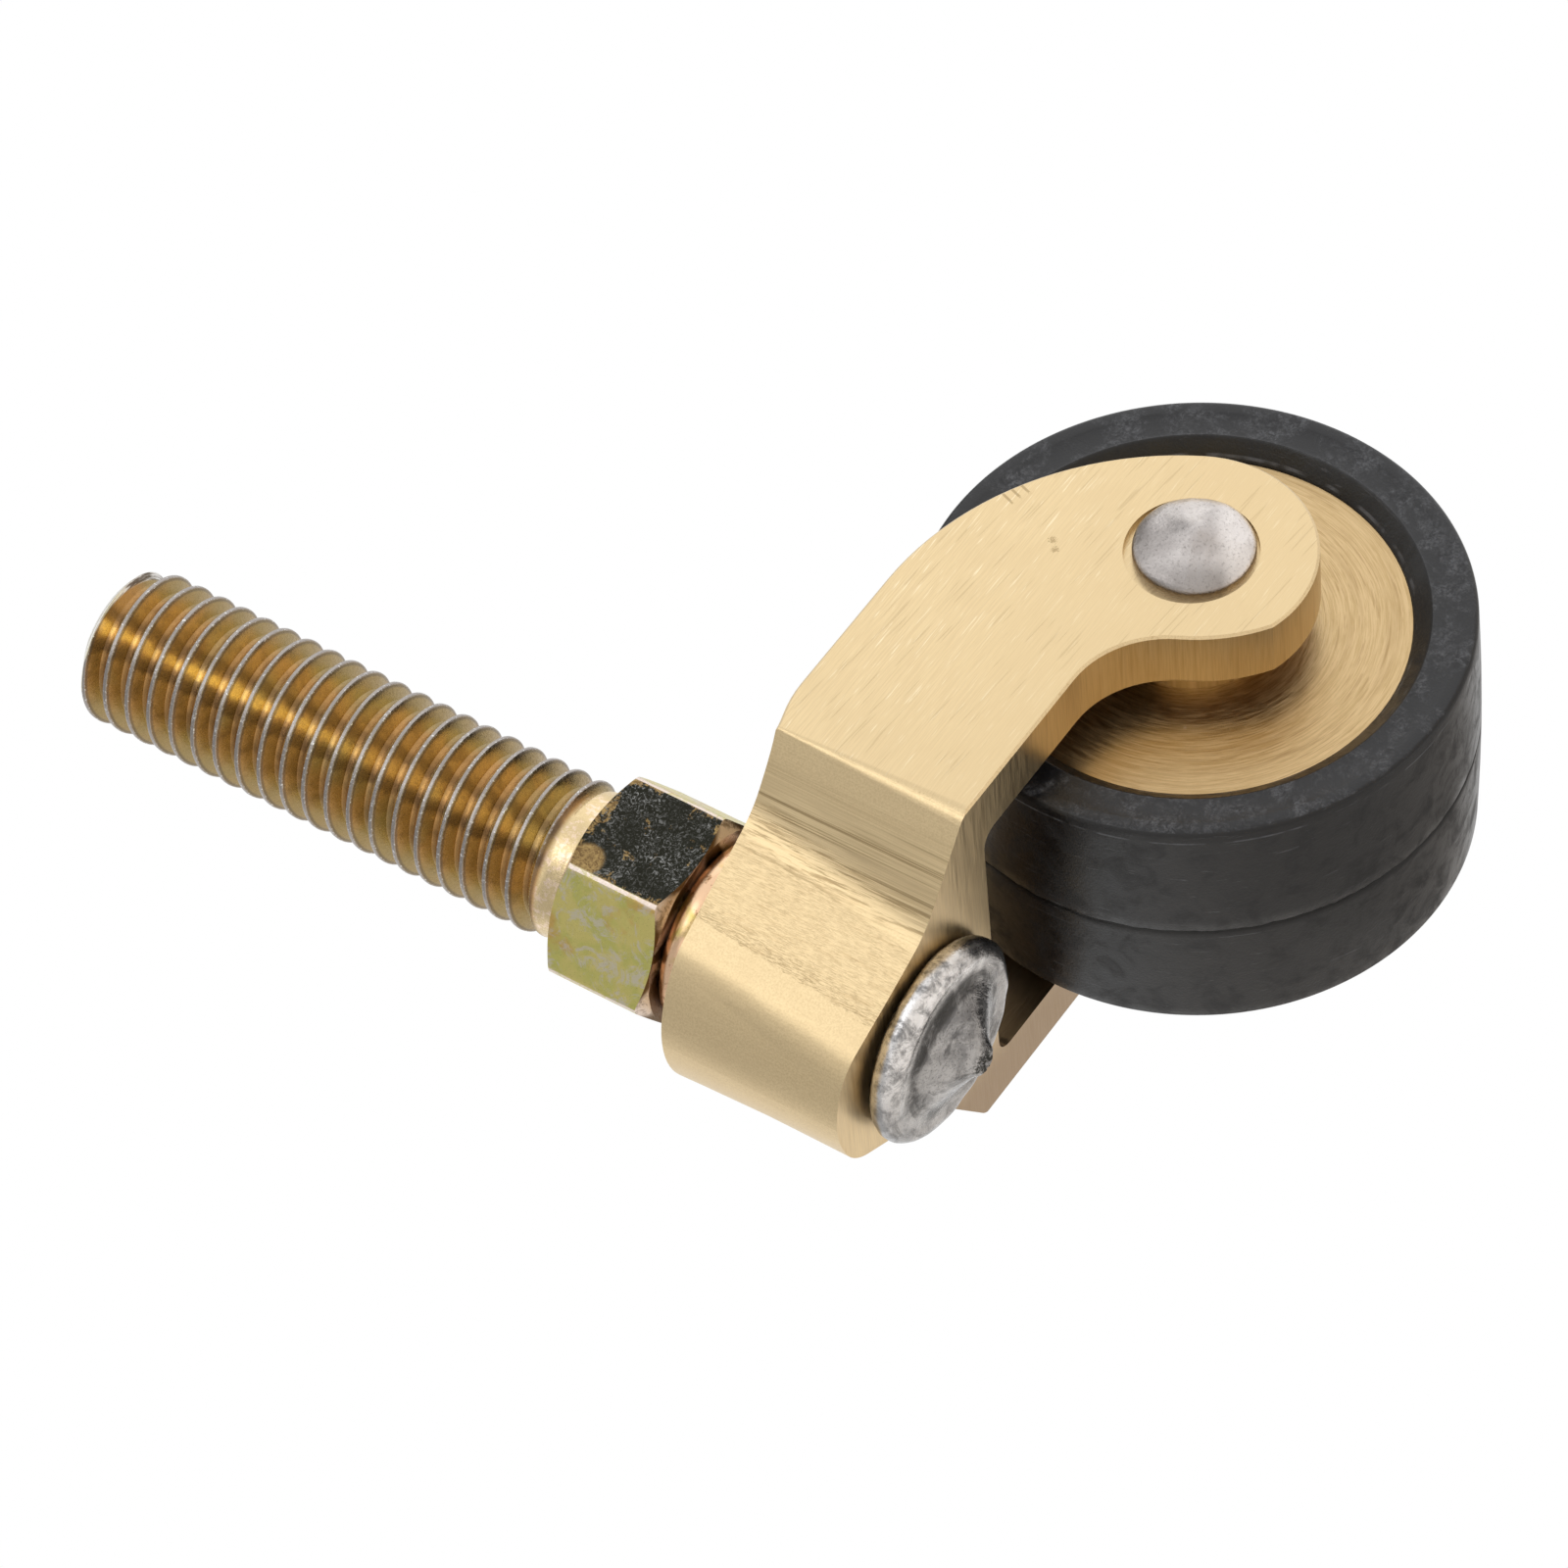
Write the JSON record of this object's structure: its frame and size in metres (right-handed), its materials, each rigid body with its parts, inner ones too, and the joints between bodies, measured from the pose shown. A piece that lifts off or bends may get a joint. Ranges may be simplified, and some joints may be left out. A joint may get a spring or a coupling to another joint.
{
  "type": "stem castor",
  "caption": "Swivel castor with a threaded stem and spanner hexagon, an S-curved brass fork, and a rubber-tyred brass wheel on a riveted axle.",
  "frame": {"origin": "on the stem's axis, where the thread begins above the neck", "axes": "+Z along the stem to its free end, +X to the fork's nose, +Y along the wheel's axle; the wheel trails along -X"},
  "size_m": [0.0422, 0.025, 0.059],
  "materials": {
    "plated_steel": "yellow zinc plating, worn grey on the thread crests",
    "washer_steel": "plated, coppery sheen",
    "fork_brass": "linished, satin",
    "rivet_steel": "bare, rubbed",
    "wheel_brass": "turned",
    "tyre_rubber": "moulded, satin"
  },
  "bodies": {
    "stem": {"stem": "plated_steel", "swivel_washer": "washer_steel"},
    "fork": {"fork": "fork_brass", "axle_rivet": "rivet_steel"},
    "wheel": {"wheel_centre": "wheel_brass", "tyre": "tyre_rubber"}
  },
  "joints": [
    {"name": "fork_swivel", "type": "hinge", "parent": "stem", "child": "fork", "pos_m": [0, 0, -0.0138], "axis": [0, 0, 1], "continuous": true},
    {"name": "wheel_spin", "type": "hinge", "parent": "fork", "child": "wheel", "pos_m": [-0.0223, 0, -0.01931], "axis": [0, 1, 0], "continuous": true}
  ]
}
